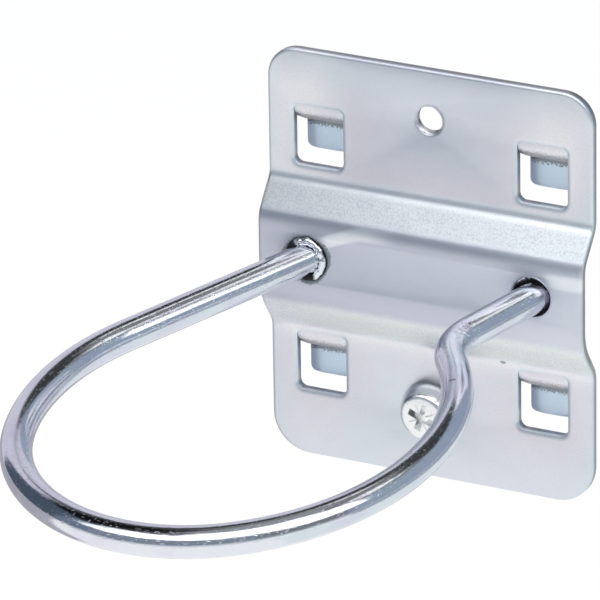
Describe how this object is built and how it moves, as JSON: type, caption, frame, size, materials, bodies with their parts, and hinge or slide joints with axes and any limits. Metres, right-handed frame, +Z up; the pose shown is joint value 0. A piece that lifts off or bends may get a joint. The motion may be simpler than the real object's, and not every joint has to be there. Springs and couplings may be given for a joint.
{
  "type": "pegboard hook",
  "caption": "Wire ring holder on a pressed plate with hook lugs for a square-hole perforated panel; a tool stands or hangs in the ring.",
  "frame": {"origin": "middle of the four hook lugs' 38 mm grid, on the plate's back face, which lies on the panel", "axes": "+X to the right as seen from the front, +Y into the panel, +Z up; the ring stands out along -Y"},
  "size_m": [0.0708, 0.0912, 0.068],
  "materials": {
    "plated_sheet": "satin bluish zinc plate on rolled steel sheet",
    "plated_rod": "bright bluish zinc plate on drawn steel rod",
    "weld_metal": "zinc plated weld metal, uneven",
    "plated_screw": "bright zinc plate"
  },
  "bodies": {
    "root": {"base_plate": "plated_sheet", "ring_rod": "plated_rod", "left_weld_bead": "weld_metal", "right_weld_bead": "weld_metal", "locking_screw": "plated_screw"}
  },
  "joints": []
}
